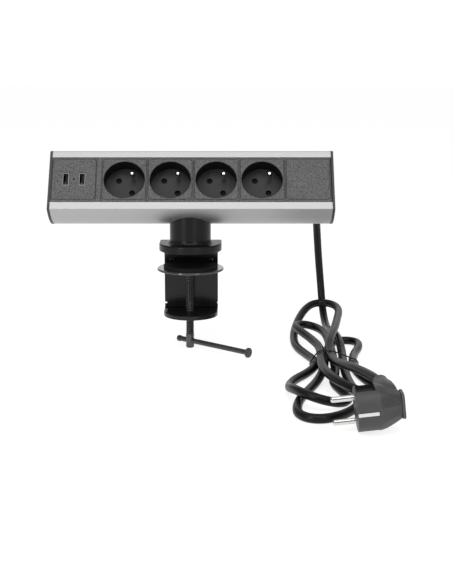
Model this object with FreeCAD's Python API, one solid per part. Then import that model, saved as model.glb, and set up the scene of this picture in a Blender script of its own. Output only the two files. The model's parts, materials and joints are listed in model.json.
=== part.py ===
import FreeCAD, Part
import math
import os

# Desk power strip on a screw clamp, in millimetres.
# Origin: centre of the clamp's upper seat, on the plane of the desk top.
# +X runs along the bar to the right, +Y to the back of the desk, +Z up.

# --- the bar -----------------------------------------------------------------
BAR_LENGTH = 279.5
BAR_SHIFT = 1.75            # the bar's middle stands this far right of the column
CAP = 2.4                   # end cap thickness
CAP_PROUD = 0.2
WALL = 2.0                  # aluminium wall
FRONT_Y, FRONT_Z = -30.5, 45.9      # lower front edge of the bar
TOP_Y, TOP_Z = 5.3, 98.0            # upper front edge of the bar
BELLY_Y, BELLY_Z = 9.8, 26.0        # lowest line of the curved underside
BELLY_R = 51.0
REAR_Y = 32.0
REAR_TOP_Z = 62.0           # where the rear wall turns into the slanted back
LAND_Y = 11.0               # rear edge of the narrow top land
REAR_CORNER_R = 8.0
BOSSES = [(26.2, 31.2), (27.5, 57.4), (8.0, 92.75)]     # screw bosses along the bar
BOSS_R = 3.2
LOWER_STRIP = 7.6           # aluminium below the insert, along the face
WINDOW = 49.2               # height of the insert, along the face

# --- the insert --------------------------------------------------------------
RECESS = 0.4                # the insert lies this far behind the aluminium
MODULE = 45.0
USB_MODULE = 44.4
SPACER = 4.6
FRAME_T = 3.0
PANEL_SHIFT = 0.6           # the panels stand this far above the window's middle
PANEL_W, PANEL_H, PANEL_R = 42.2, 43.9, 2.5
GAP = 0.45                  # dark joint round each panel
JOINT = 0.45                # dark joint between a frame and its neighbours
JOINT_DEPTH = 1.4
SOCKETS = 4
CUP_R = 20.2
CUP_DEPTH = 15.5
CUP_CHAMFER = 0.4
CUP_WALL = 0.95
FLOOR_T = 2.0
PIN_HOLE_R = 2.8
PIN_PITCH = 19.0
EARTH_OFFSET = 10.3
EARTH_R = 2.4
EARTH_LENGTH = 15.3
EARTH_NOSE = 2.0
SHUTTER_T = 1.6
BASE_DEPTH = 14.0
HUB_R = 3.4
BUS_T = 0.8
BUS_STEP = 2.0              # the earth strip lies this far behind the other two
USB_PITCH = 16.0
USB_W, USB_H = 6.5, 14.0
USB_DEPTH = 13.0
USB_Y = 0.7
LED_R = 1.1

# --- column and clamp --------------------------------------------------------
COLUMN_R = 20.5
FOOT_R = 4.0                # hollow round where the column meets the flange
FLANGE_R = 31.2
FLANGE_T = 8.0
FLANGE_REAR = 19.0
SHEET = 4.0
BRACKET_W = 54.6
PLATE_Y = 20.5              # front face of the clamp's back plate
LEG_TOP_Z = 5.0             # top of the upper leg, let into the flange
LOWER_LEG_Z = -62.2         # top of the lower leg
PAD_T = 1.0
DISC_R = 33.5
DISC_TOP = -17.2
DISC_T = 2.0
DISC_FLAT = 19.9             # the disc's straight rear edge slides along the back plate
JAW_PAD_R = 27.0
JAW_PAD_T = 2.7
SCREW_X = -1.0
SCREW_R = 4.3
SCREW_TIP_R = 4.1
SCREW_TOP = -19.4
SCREW_PLAIN = -87.0
SCREW_END = -100.2
COLUMN_SCREW_X = (-10.0, 10.0)
COLUMN_SCREW_Y = 11.5
COLUMN_SCREW_R = 1.75
BRACKET_RIVET_X = (-20.2, 20.2)
BRACKET_RIVET_Z = -13.3
NOTCH_Z, NOTCH_H = 2.9, 1.9         # bend notches, above the lower leg
RIVET_R = 2.0
RUN = 0.06                  # radial clearance of a running fit
TOMMY_R = 2.65
TOMMY_Z = -93.0
TOMMY_TURN = -40.0
TOMMY_BACK = -15.8
TOMMY_FRONT = 77.2
TOMMY_HEAD_R = 5.0

# --- cord and plug -----------------------------------------------------------
CORD_R = 4.1
LEAD_R = 1.1
CORD_X, CORD_Z = 131.5, 44.5
GLAND_R = 5.4
RELIEF = 14.5               # strain relief length behind the bar
PLUG_Y, PLUG_Z = -262.0, -81.7
PLUG_LEAN = -6.5            # the plug lies with its pins a little down
PLUG_R = 18.5
PLUG_FACE_X = 138.0
PLUG_DRUM = 19.0
PLUG_END_X = 175.0
PLUG_PIN_R = 2.4
PLUG_PIN = 19.0
TIE_R = 0.6

# The route of the cord's middle line, from inside the bar to inside the plug.
CORD_ROUTE = [
    (131.5, 26.0, 44.5), (131.5, 62.0, 44.5), (132.5, 92.0, 29.0), (135.5, 112.0, 2.0),
    (138.5, 121.0, -30.0), (141.5, 123.0, -60.0), (143.0, 112.0, -85.0), (144.0, 86.0, -96.0),
    (144.5, 58.0, -96.0), (145.5, 30.0, -89.9), (147.0, 4.0, -86.8), (149.0, -22.0, -88.0),
    (149.0, -50.0, -93.5), (146.7, -82.0, -94.5), (145.5, -122.0, -96.0), (147.5, -158.0, -96.0),
    (151.5, -186.0, -96.0), (146.5, -211.0, -96.0), (133.0, -232.0, -96.0),
    (117.0, -243.5, -96.0), (103.0, -242.5, -96.0), (94.5, -230.0, -96.0), (95.0, -211.0, -96.0),
    (99.0, -190.0, -96.0), (107.0, -167.0, -96.0), (117.0, -140.0, -96.0),
    (124.5, -112.0, -95.4), (129.6, -80.0, -94.4), (131.8, -42.0, -96.0), (140.0, -12.0, -96.0),
    (146.0, 5.0, -96.0), (154.0, 11.0, -96.0), (164.0, 10.5, -96.0), (170.5, 2.0, -96.0),
    (169.0, -17.0, -96.0), (161.0, -43.0, -96.0), (155.6, -78.0, -94.4), (155.5, -104.0, -94.9),
    (161.0, -131.0, -96.0), (172.0, -156.0, -96.0), (183.0, -178.0, -96.0),
    (180.0, -198.0, -96.0), (166.0, -207.0, -92.0), (150.0, -200.0, -86.5),
    (138.0, -181.0, -86.0), (128.0, -153.0, -86.3), (123.3, -118.0, -86.8),
    (125.4, -84.0, -87.0), (126.5, -56.0, -85.0), (119.5, -27.0, -84.0), (111.0, -5.0, -82.0),
    (106.5, 14.0, -82.0), (110.0, 27.0, -83.0), (119.5, 33.5, -84.5), (130.0, 28.5, -86.5),
    (136.0, 11.0, -87.0), (137.5, -12.0, -87.0), (138.0, -44.0, -87.9), (138.3, -80.0, -94.2),
    (137.0, -112.0, -95.6), (131.0, -140.0, -96.0), (137.0, -168.0, -96.0),
    (142.0, -189.0, -96.0), (133.0, -206.0, -95.0), (116.0, -212.0, -90.0),
    (101.5, -204.0, -86.8), (93.5, -184.0, -88.5), (90.5, -158.0, -95.0), (96.5, -133.0, -96.0),
    (111.0, -110.0, -96.0), (119.7, -92.0, -94.5), (121.0, -71.0, -95.0), (114.5, -45.0, -96.0),
    (106.0, -15.0, -96.0), (105.0, 15.0, -94.5), (109.0, 46.0, -89.0), (117.5, 75.0, -82.0),
    (127.0, 94.0, -77.5), (137.0, 102.5, -76.5), (149.0, 100.5, -76.5), (156.0, 87.0, -77.0),
    (157.0, 66.0, -77.5), (152.0, 34.0, -78.0), (145.0, -10.0, -78.2), (136.6, -46.0, -78.9),
    (134.3, -66.0, -83.6), (133.9, -86.0, -87.2), (136.5, -118.0, -83.5), (145.0, -160.0, -75.5),
    (156.0, -200.0, -71.0), (162.0, -226.0, -70.0), (165.0, -240.0, -72.0),
]

# The tie that gathers the seven strands.
TIE_Y = -84.0
TIE_LOOP = [
    (115.0, -94.7), (116.1, -97.7), (118.7, -99.5), (128.5, -99.5), (156.0, -99.5),
    (158.9, -98.5), (160.7, -95.8), (160.5, -92.7), (158.4, -90.3), (135.9, -81.7),
    (125.1, -81.7), (122.1, -82.7), (115.7, -92.3),
]

V = FreeCAD.Vector
X0 = BAR_SHIFT - BAR_LENGTH / 2
X1 = BAR_SHIFT + BAR_LENGTH / 2
IN0 = X0 + CAP
IN1 = X1 - CAP
FACE = math.hypot(TOP_Y - FRONT_Y, TOP_Z - FRONT_Z)
UP_Y = (TOP_Y - FRONT_Y) / FACE
UP_Z = (TOP_Z - FRONT_Z) / FACE
TILT = math.degrees(math.atan2(UP_Z, UP_Y))
MID_S = LOWER_STRIP + WINDOW / 2
MID_Y = FRONT_Y + UP_Y * MID_S
MID_Z = FRONT_Z + UP_Z * MID_S
USB_X = IN0 + USB_MODULE / 2
SPACER_X = IN0 + USB_MODULE + SPACER / 2 + 0.05
SOCKET_X = [IN0 + USB_MODULE + SPACER + 0.1 + MODULE * (i + 0.5) for i in range(SOCKETS)]
BLANK_X = SOCKET_X[-1] + MODULE
PIN_OFF = PIN_PITCH / 2 / math.sqrt(2)
EARTH_OFF = EARTH_OFFSET / math.sqrt(2)
FLOOR_TOP = -RECESS - CUP_DEPTH
FLOOR_LOW = FLOOR_TOP - FLOOR_T
SHUTTER_TOP = FLOOR_LOW - 0.3
BASE_TOP = SHUTTER_TOP - SHUTTER_T - 0.3
BASE_LOW = BASE_TOP - BASE_DEPTH
BUS_Z = BASE_LOW - 0.9
BUS_START = SOCKET_X[0] - 14
BUS_END = SOCKET_X[-1] + 22
PLATE_BACK = PLATE_Y + SHEET
CLAMP_SCREW_Z = (CORD_Z - 8.1, CORD_Z + 8.1)
PLUG_PIN_Z = (PLUG_Z - PIN_PITCH / 2, PLUG_Z + PIN_PITCH / 2)

os.makedirs("parts", exist_ok=True)


def save(name, *shapes):
    """Writes one sub-part as a STEP file, a group as a compound of solids."""
    solids = []
    for shape in shapes:
        solids.extend(shape.Solids)
    whole = solids[0] if len(solids) == 1 else Part.makeCompound(solids)
    whole.exportStep("parts/" + name + ".step")


def box(x0, y0, z0, x1, y1, z1):
    return Part.makeBox(x1 - x0, y1 - y0, z1 - z0, V(x0, y0, z0))


def rod(r, x, y, z0, z1):
    return Part.makeCylinder(r, z1 - z0, V(x, y, z0), V(0, 0, 1))


def rod_along(r, start, end):
    line = end.sub(start)
    return Part.makeCylinder(r, line.Length, start, line)


def ring(outer, inner, x, y, z0, z1):
    return rod(outer, x, y, z0, z1).cut(rod(inner, x, y, z0 - 1, z1 + 1))


def rounded_slab(width, height, r, z0, z1, x=0.0, y=0.0):
    """A slab with round corners, its faces square to Z."""
    a, b = width / 2, height / 2
    k = r * (1 - math.sqrt(0.5))
    corners = [(1, 1), (-1, 1), (-1, -1), (1, -1)]
    edges = []
    last = None
    first = None
    for sx, sy in corners:
        side = V(x + sx * a, y + sy * (b - r), z0)
        middle = V(x + sx * (a - k), y + sy * (b - k), z0)
        top = V(x + sx * (a - r), y + sy * b, z0)
        start, end = (side, top) if sx * sy > 0 else (top, side)
        if last is None:
            first = start
        else:
            edges.append(Part.LineSegment(last, start).toShape())
        edges.append(Part.Arc(start, middle, end).toShape())
        last = end
    edges.append(Part.LineSegment(last, first).toShape())
    return Part.Face(Part.Wire(edges)).extrude(V(0, 0, z1 - z0))


def on_face(shape, x):
    """Places a shape built flat, facing +Z, into the bar's leaning face."""
    placed = shape.copy()
    placed.rotate(V(0, 0, 0), V(1, 0, 0), TILT)
    placed.translate(V(x, MID_Y, MID_Z))
    return placed


def edges_along(shape, axis, test):
    """The straight edges along one axis whose middle passes the test."""
    found = []
    for edge in shape.Edges:
        a, b = edge.Vertexes[0].Point, edge.Vertexes[-1].Point
        line = b.sub(a)
        if line.Length > 0.5 and abs(line.normalize().dot(axis)) > 0.999:
            if test(edge.CenterOfMass):
                found.append(edge)
    return found


def bar_outline(x):
    """The bar's closed section: leaning face, curved belly, upright rear, slanted back."""
    front = V(x, FRONT_Y, FRONT_Z)
    belly = V(x, BELLY_Y, BELLY_Z)
    half_chord = front.sub(belly).Length / 2
    sag = BELLY_R - math.sqrt(BELLY_R ** 2 - half_chord ** 2)
    middle = front.add(belly).multiply(0.5)
    across = V(0, belly.z - front.z, -(belly.y - front.y)).normalize()
    bulge = middle.add(across.multiply(sag))
    k = REAR_CORNER_R * (1 - math.sqrt(0.5))
    low = V(x, REAR_Y - REAR_CORNER_R, BELLY_Z)
    turn = V(x, REAR_Y - k, BELLY_Z + k)
    up = V(x, REAR_Y, BELLY_Z + REAR_CORNER_R)
    shoulder = V(x, REAR_Y, REAR_TOP_Z)
    land = V(x, LAND_Y, TOP_Z)
    top = V(x, TOP_Y, TOP_Z)
    edges = [
        Part.Arc(front, bulge, belly).toShape(),
        Part.LineSegment(belly, low).toShape(),
        Part.Arc(low, turn, up).toShape(),
        Part.LineSegment(up, shoulder).toShape(),
        Part.LineSegment(shoulder, land).toShape(),
        Part.LineSegment(land, top).toShape(),
        Part.LineSegment(top, front).toShape(),
    ]
    return Part.Face(Part.Wire(edges))


def housing_profile():
    length = IN1 - IN0
    outer = bar_outline(IN0).extrude(V(length, 0, 0))
    inner = bar_outline(IN0).makeOffset2D(-WALL).extrude(V(length, 0, 0))
    shell = outer.cut(inner)
    window = box(-1, -WINDOW / 2, -6, length + 1, WINDOW / 2, 4)
    shell = shell.cut(on_face(window, IN0))
    for side in (-1, 1):
        y0, y1 = sorted((side * WINDOW / 2, side * (WINDOW / 2 + 2.2)))
        rail = box(0, y0, -6.2, length, y1, -WALL + 0.2)
        shell = shell.fuse(on_face(rail, IN0).common(outer))
    for y, z in BOSSES:
        boss = Part.makeCylinder(BOSS_R, length, V(IN0, y, z), V(1, 0, 0)).common(outer)
        shell = shell.fuse(boss)
    for y, z in BOSSES:
        shell = shell.cut(Part.makeCylinder(1.4, length, V(IN0, y, z), V(1, 0, 0)))
    gland = rod_along(GLAND_R, V(CORD_X, REAR_Y - 6, CORD_Z), V(CORD_X, REAR_Y + 2, CORD_Z))
    shell = shell.cut(gland)
    for x in COLUMN_SCREW_X:
        shell = shell.cut(rod(2.2, x, COLUMN_SCREW_Y, BELLY_Z - 6, BELLY_Z + 8))
    return shell.removeSplitter()


def end_cap(x, outward):
    """A flat moulded cap with the bar's outline and a plug that centres it."""
    plate = bar_outline(x).makeOffset2D(CAP_PROUD).extrude(V(outward * CAP, 0, 0))
    for y, z in BOSSES:
        side = V(outward, 0, 0)
        plate = plate.cut(Part.makeCylinder(1.6, 2 * CAP, V(x - outward * CAP / 2, y, z), side))
        cone = Part.makeCone(1.6, 3.1, 1.5, V(x + outward * (CAP - 1.5), y, z), side)
        plate = plate.cut(cone)
    return plate


def cap_screws():
    """Six countersunk screws, three in each cap."""
    screws = []
    for x, outward in ((IN0, -1), (IN1, 1)):
        side = V(outward, 0, 0)
        for y, z in BOSSES:
            shank = Part.makeCylinder(1.35, 8 + CAP, V(x - outward * 8, y, z), side)
            head = Part.makeCone(1.5, 3.0, 1.4, V(x + outward * (CAP - 1.5), y, z), side)
            slot = box(-0.4, -2.2, -0.3, 0.6, 2.2, 0.3)
            slot.translate(V(x + outward * CAP, y, z))
            screws.append(shank.fuse(head).cut(slot))
    return screws


def module_frame(width):
    """The plain outer frame that clips into the bar's window, narrower at its front."""
    a = (width - 0.1) / 2
    b = (WINDOW - 0.1) / 2
    low = -RECESS - FRAME_T
    body = box(-a, -b, low, a, b, -RECESS - JOINT_DEPTH)
    front_a, front_b = a - JOINT / 2, b - JOINT
    body = body.fuse(box(-front_a, -front_b, low, front_a, front_b, -RECESS))
    opening = rounded_slab(
        PANEL_W + 2 * GAP, PANEL_H + 2 * GAP, PANEL_R + GAP, low - 1, 1, 0, PANEL_SHIFT)
    body = body.cut(opening)
    for side in (-1, 1):
        y0, y1 = sorted((side * (b - 2.0), side * (b - 0.3)))
        for clip_x in (-12.0, 12.0):
            body = body.fuse(box(clip_x - 4, y0, low - 3.2, clip_x + 4, y1, low + 0.1))
    return body.removeSplitter()


def panel():
    """A flat panel with side flanges that bear on the frame from behind."""
    low = -RECESS - FRAME_T
    face = rounded_slab(PANEL_W, PANEL_H, PANEL_R, low - 0.1, -RECESS + 0.1, 0, PANEL_SHIFT)
    reach = PANEL_W / 2 + GAP + 0.4
    return face.fuse(box(-reach, -20, low - 1.2, reach, 20, low - 0.03)).removeSplitter()


def socket_cover():
    """Panel with the round well, its floor, two pin holes and the earth pin's hole."""
    cup = rod(CUP_R + CUP_WALL, 0, 0, FLOOR_LOW, -RECESS - 0.1)
    cover = panel().fuse(cup).cut(rod(CUP_R, 0, 0, FLOOR_TOP, 1))
    lip = 0.1 - RECESS
    chamfer = Part.makeCone(CUP_R, CUP_R + CUP_CHAMFER, CUP_CHAMFER, V(0, 0, lip - CUP_CHAMFER))
    cover = cover.cut(chamfer)
    for sign in (-1, 1):
        x, y = sign * PIN_OFF, -sign * PIN_OFF
        cover = cover.cut(rod(PIN_HOLE_R, x, y, FLOOR_LOW - 1, 0))
        sink = Part.makeCone(PIN_HOLE_R, PIN_HOLE_R + 0.3, 0.3, V(x, y, FLOOR_TOP - 0.3))
        cover = cover.cut(sink)
    cover = cover.cut(rod(EARTH_R + 0.05, EARTH_OFF, EARTH_OFF, FLOOR_LOW - 1, 0))
    return cover.removeSplitter()


def socket_base():
    """Insulating block behind the floor, hollowed for the contacts and the shutter spring."""
    block = rounded_slab(33, 33, 4, BASE_LOW, BASE_TOP)
    rim = ring(CUP_R - 0.2, CUP_R - 1.7, 0, 0, BASE_TOP - 0.1, FLOOR_LOW - 0.05)
    rim = rim.common(rounded_slab(33, 33, 4, BASE_LOW, FLOOR_LOW))
    base = block.fuse(rim)
    for sign in (-1, 1):
        x, y = sign * PIN_OFF, -sign * PIN_OFF
        base = base.cut(rod(4.0, x, y, BASE_LOW - 1, BASE_TOP + 1))
    base = base.cut(rod(EARTH_R + 0.05, EARTH_OFF, EARTH_OFF, BASE_LOW - 1, BASE_TOP + 1))
    trough = box(-14.6, -1.5, BASE_TOP - 3.2, 2.6, 1.5, BASE_TOP + 1)
    trough.rotate(V(0, 0, 0), V(0, 0, 1), 45)
    return base.cut(trough)


def earth_pin():
    length = FLOOR_TOP + EARTH_LENGTH - EARTH_NOSE
    pin = rod(EARTH_R, EARTH_OFF, EARTH_OFF, BUS_Z - BUS_STEP, length)
    nose = Part.makeCone(EARTH_R, 1.3, EARTH_NOSE, V(EARTH_OFF, EARTH_OFF, length))
    pin = pin.fuse(nose)
    rim = [e for e in pin.Edges if e.BoundBox.ZMin > length + EARTH_NOSE - 0.01]
    return pin.makeFillet(0.6, rim)


def shutter():
    """A sliding bar that covers both pin holes until a plug pushes it aside."""
    bar = rounded_slab(25, 7, 3.2, SHUTTER_TOP - SHUTTER_T, SHUTTER_TOP)
    bar.rotate(V(0, 0, 0), V(0, 0, 1), -45)
    tongue = rounded_slab(4.4, 2.2, 0.4, SHUTTER_TOP - SHUTTER_T - 2.4, SHUTTER_TOP - SHUTTER_T + 0.1)
    tongue.rotate(V(0, 0, 0), V(0, 0, 1), 45)
    return bar.fuse(tongue)


def shutter_spring():
    """The small return spring between the shutter's tongue and the base."""
    turns = 6
    reach = 11.0
    coil_r = 1.0
    wire_r = 0.22
    rings = []
    for i in range(turns):
        along = -3.0 - reach * (i + 0.5) / turns
        centre = V(along * math.sqrt(0.5), along * math.sqrt(0.5), SHUTTER_TOP - SHUTTER_T - 1.6)
        rings.append(Part.makeTorus(coil_r, wire_r, centre, V(1, 1, 0)))
    return rings


def busbar(y0, y1, hub_y, hub_side, length1):
    """One brass strip under all four sockets, with a split tube at one pin of each."""
    strip = box(BUS_START, y0, BUS_Z - BUS_T, length1, y1, BUS_Z)
    for socket_x in SOCKET_X:
        x = socket_x + hub_side * PIN_OFF
        tab = box(x - HUB_R, y0, BUS_Z - BUS_T, x + HUB_R, hub_y, BUS_Z)
        hub = ring(HUB_R, HUB_R - 0.7, x, hub_y, BUS_Z - 0.05, BASE_TOP - 0.4)
        split = box(x - 0.5, hub_y - 6, BUS_Z + 1.2, x + 0.5, hub_y + 6, BASE_TOP + 1)
        foot = rod(HUB_R, x, hub_y, BUS_Z - BUS_T, BUS_Z)
        strip = strip.fuse([tab, foot, hub.cut(split)])
    return strip.removeSplitter()


def earth_busbar(length1):
    """Brass strip with a tab under every earth pin, behind the other two."""
    y = EARTH_OFF
    top = BUS_Z - BUS_STEP
    strip = box(BUS_START, y + 1.0, top - BUS_T, length1, y + 7.0, top)
    for socket_x in SOCKET_X:
        x = socket_x + EARTH_OFF
        strip = strip.fuse(box(x - 3.4, y - 3.4, top - BUS_T, x + 3.4, y + 2, top))
    return strip.removeSplitter()


def usb_panel():
    plate = panel()
    for x in (-USB_PITCH / 2, USB_PITCH / 2):
        plate = plate.cut(rounded_slab(USB_W, USB_H, 0.6, -8, 1, x, USB_Y))
    return plate.cut(rod(LED_R + 0.05, 0, USB_Y, -8, 1))


def usb_shells():
    """Two folded steel receptacles, open at the front."""
    shells = []
    low, front = -RECESS - USB_DEPTH, -RECESS - 0.6
    for x in (-USB_PITCH / 2, USB_PITCH / 2):
        outer = rounded_slab(USB_W - 0.6, USB_H - 0.8, 0.5, low, front, x, USB_Y)
        inner = rounded_slab(USB_W - 1.3, USB_H - 1.5, 0.3, low + 0.6, 1, x, USB_Y)
        shells.append(outer.cut(inner))
    return shells


def usb_tongues():
    tongues = []
    low, front = -RECESS - USB_DEPTH + 0.7, -RECESS - 1.4
    for x in (-USB_PITCH / 2, USB_PITCH / 2):
        side = x + 1.1
        tongues.append(box(side - 0.7, USB_Y - 5.4, low, side + 0.7, USB_Y + 5.4, front))
    return tongues


def usb_board():
    """Circuit board on edge behind the ports, with its converter parts."""
    low = -RECESS - USB_DEPTH
    board = box(-19, USB_Y - 15, low - 1.8, 19, USB_Y + 15, low - 0.2)
    coil = ring(4.0, 1.6, -11, USB_Y - 6, low - 6.8, low - 1.7)
    cap_can = rod(3.2, 11, USB_Y - 6, low - 10, low - 1.7)
    chip = box(-3, USB_Y + 4, low - 3.4, 5, USB_Y + 10, low - 1.7)
    return board.fuse([coil, cap_can, chip])


def led():
    lens = rod(LED_R, 0, USB_Y, -6, -RECESS - 0.2)
    return lens.fuse(rod(LED_R + 0.4, 0, USB_Y, -7, -5.9))


def wires():
    """Three insulated leads from the cord's end to the busbars."""
    leads = []
    behind = BUS_Z - BUS_T - LEAD_R - 0.05
    before = BUS_Z - BUS_STEP + LEAD_R + 0.4
    ends = ((-PIN_OFF, behind), (2.1, behind), (EARTH_OFF + 4.0, before))
    for i, (y, z) in enumerate(ends):
        at = on_face(Part.makeSphere(0.1, V(0, y, z)), BUS_END - 2 + 3 * i)
        target = at.CenterOfMass
        start = V(CORD_X - 2.4 + 2.4 * i, CORD_ROUTE[0][1] - 0.7, CORD_Z)
        bend = V(start.x, start.y - 2.0 - 3.0 * i, CORD_Z + 1.0)
        first, second = rod_along(LEAD_R, start, bend), rod_along(LEAD_R, bend, target)
        leads.append(first.fuse([second, Part.makeSphere(LEAD_R, bend)]))
    return leads


def cord_clamp():
    """Bridge that grips the cord's sheath inside the rear wall."""
    y0, y1 = REAR_Y - 6.0, REAR_Y - 3.8
    body = box(CORD_X - 6.5, y0, CORD_Z - 9.6, CORD_X + 6.5, y1, CORD_Z + 9.6)
    hole = rod_along(CORD_R, V(CORD_X, y0 - 1, CORD_Z), V(CORD_X, y1 + 1, CORD_Z))
    body = body.cut(hole)
    for z in CLAMP_SCREW_Z:
        body = body.cut(rod_along(1.2, V(CORD_X, y0 - 1, z), V(CORD_X, y1 + 1, z)))
    return body


def clamp_screws():
    screws = []
    for z in CLAMP_SCREW_Z:
        shank = rod_along(1.15, V(CORD_X, REAR_Y - 6.1, z), V(CORD_X, REAR_Y - WALL - 0.1, z))
        head = rod_along(1.9, V(CORD_X, REAR_Y - 7.5, z), V(CORD_X, REAR_Y - 6.05, z))
        screws.append(shank.fuse(head))
    return screws


def strain_relief():
    """Moulded sleeve round the cord, tapered away from the rear wall."""
    inside, outside, end = REAR_Y - 3.6, REAR_Y, REAR_Y + RELIEF
    out = V(0, 1, 0)
    neck = rod_along(GLAND_R - 0.03, V(CORD_X, inside, CORD_Z), V(CORD_X, outside + 0.5, CORD_Z))
    collar = rod_along(7.2, V(CORD_X, outside + 0.05, CORD_Z), V(CORD_X, outside + 3, CORD_Z))
    cone = Part.makeCone(6.9, 5.4, RELIEF - 2.9, V(CORD_X, outside + 2.9, CORD_Z), out)
    inner = rod_along(6.7, V(CORD_X, inside, CORD_Z), V(CORD_X, REAR_Y - WALL - 0.05, CORD_Z))
    body = neck.fuse([collar, cone, inner])
    for i in range(3):
        y = outside + 5.4 + 3.3 * i
        body = body.cut(Part.makeTorus(6.8 - 0.42 * i, 0.7, V(CORD_X, y, CORD_Z), out))
    bore = rod_along(CORD_R, V(CORD_X, inside - 1, CORD_Z), V(CORD_X, end + 1, CORD_Z))
    return body.cut(bore)


def half_round(r, rear, z0, z1):
    """A slab with a half-round front and a straight rear."""
    disc = rod(r, 0, 0, z0, z1)
    return disc.common(box(-r, -r, z0, r, 0.01, z1)).fuse(box(-r, 0, z0, r, rear, z1))


def support_column():
    """Column and flange in one casting, its top cut to the bar's underside."""
    flange = half_round(FLANGE_R, FLANGE_REAR, 0.4, FLANGE_T).removeSplitter()
    rims = [e for e in flange.Edges if abs(e.CenterOfMass.z - FLANGE_T) < 0.01]
    flange = flange.makeFillet(1.4, rims)
    lows = [e for e in flange.Edges if abs(e.BoundBox.ZMax - 0.4) < 0.01]
    flange = flange.makeFillet(0.8, lows)
    foot = rod(COLUMN_R + FOOT_R, 0, 0, FLANGE_T - 0.5, FLANGE_T + FOOT_R)
    hollow = Part.makeTorus(COLUMN_R + FOOT_R, FOOT_R, V(0, 0, FLANGE_T + FOOT_R))
    foot = foot.cut(hollow).common(box(-FLANGE_R, -FLANGE_R, 0, FLANGE_R, FLANGE_REAR, 20))
    shaft = rod(COLUMN_R, 0, 0, FLANGE_T - 1, 60)
    bar = bar_outline(-60).extrude(V(120, 0, 0))
    shaft = shaft.cut(bar)
    shaft = [s for s in shaft.Solids if s.BoundBox.ZMin < FLANGE_T][0]
    body = flange.fuse([foot, shaft]).removeSplitter()
    body = body.cut(rod(COLUMN_R - 4, 0, 0, LEG_TOP_Z + 3, BELLY_Z - 8))
    pocket = half_round(BRACKET_W / 2 + 0.15, FLANGE_REAR + 1, 0, LEG_TOP_Z + 0.05)
    body = body.cut(pocket)
    for x in COLUMN_SCREW_X:
        body = body.cut(rod(COLUMN_SCREW_R + 0.05, x, COLUMN_SCREW_Y, LEG_TOP_Z, BELLY_Z + 1))
    return body


def column_screws():
    """Two long screws from inside the bar, down through the column into the bracket's leg."""
    screws = []
    for x in COLUMN_SCREW_X:
        top = BELLY_Z + WALL
        shank = rod(COLUMN_SCREW_R, x, COLUMN_SCREW_Y, LEG_TOP_Z - SHEET + 0.3, top + 0.1)
        head = rod(3.6, x, COLUMN_SCREW_Y, top + 0.05, top + 2.6)
        socket = rod(1.5, x, COLUMN_SCREW_Y, top + 1.2, top + 3)
        screws.append(shank.fuse(head).cut(socket))
    return screws


def clamp_bracket():
    """The bent steel C: upper leg, back plate and lower leg with the screw's hole."""
    half = BRACKET_W / 2
    low = LOWER_LEG_Z - SHEET
    solid = box(-half, -half, low, half, PLATE_BACK, LEG_TOP_Z)
    corner = edges_along(solid, V(1, 0, 0), lambda c: c.y > PLATE_BACK - 0.1)
    solid = solid.makeFillet(5.0, corner)
    gap = box(-half - 1, -half - 1, LOWER_LEG_Z, half + 1, PLATE_Y, LEG_TOP_Z - SHEET)
    inside = edges_along(gap, V(1, 0, 0), lambda c: c.y > PLATE_Y - 0.1)
    gap = gap.makeFillet(1.2, inside)
    bracket = solid.cut(gap)
    bracket = bracket.common(half_round(half, PLATE_BACK, low - 1, LEG_TOP_Z + 1))
    for side, deep in ((-1, 2.2), (1, 0.8)):
        x0, x1 = sorted((side * (half - deep), side * (half + 1)))
        z0 = LOWER_LEG_Z + NOTCH_Z
        bracket = bracket.cut(box(x0, PLATE_Y - 1, z0, x1, PLATE_BACK + 1, z0 + NOTCH_H))
    bracket = bracket.cut(rod(SCREW_R + RUN, SCREW_X, 0, low - 1, LOWER_LEG_Z + 1))
    for x in BRACKET_RIVET_X:
        hole = rod_along(1.7, V(x, PLATE_Y - 1, BRACKET_RIVET_Z), V(x, PLATE_BACK + 1, BRACKET_RIVET_Z))
        bracket = bracket.cut(hole)
    for x in COLUMN_SCREW_X:
        bracket = bracket.cut(rod(COLUMN_SCREW_R + 0.05, x, COLUMN_SCREW_Y, 0, LEG_TOP_Z + 1))
    return bracket


def bracket_rivets():
    """Two flat-headed rivets that close the spare holes of the back plate."""
    rivets = []
    for x in BRACKET_RIVET_X:
        shank = rod_along(1.65, V(x, PLATE_Y, BRACKET_RIVET_Z), V(x, PLATE_BACK, BRACKET_RIVET_Z))
        front = Part.makeSphere(8.0, V(x, PLATE_Y + 7.7, BRACKET_RIVET_Z))
        front = front.common(box(x - 4, PLATE_Y - 4, BRACKET_RIVET_Z - 4,
                                 x + 4, PLATE_Y, BRACKET_RIVET_Z + 4))
        rear = Part.makeSphere(8.0, V(x, PLATE_BACK - 7.7, BRACKET_RIVET_Z))
        rear = rear.common(box(x - 4, PLATE_BACK, BRACKET_RIVET_Z - 4,
                               x + 4, PLATE_BACK + 4, BRACKET_RIVET_Z + 4))
        rivets.append(shank.fuse([front, rear]))
    return rivets


def upper_pad():
    return half_round(BRACKET_W / 2 - 1.5, PLATE_Y - 4.0, 0, PAD_T - 0.02).removeSplitter()


def pressure_disc():
    """Pressed steel disc with a turned edge, cut straight behind so that it can't turn."""
    low = DISC_TOP - DISC_T
    disc = rod(DISC_R, 0, 0, low, DISC_TOP)
    rim = [e for e in disc.Edges if abs(e.CenterOfMass.z - DISC_TOP) < 0.01 and e.Length > 50]
    disc = disc.makeFillet(1.2, rim)
    disc = disc.common(box(-DISC_R - 1, -DISC_R - 1, low - 1, DISC_R + 1, DISC_FLAT, DISC_TOP + 1))
    return disc.cut(rod(RIVET_R, SCREW_X, 0, low - 1, DISC_TOP + 1))


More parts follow.
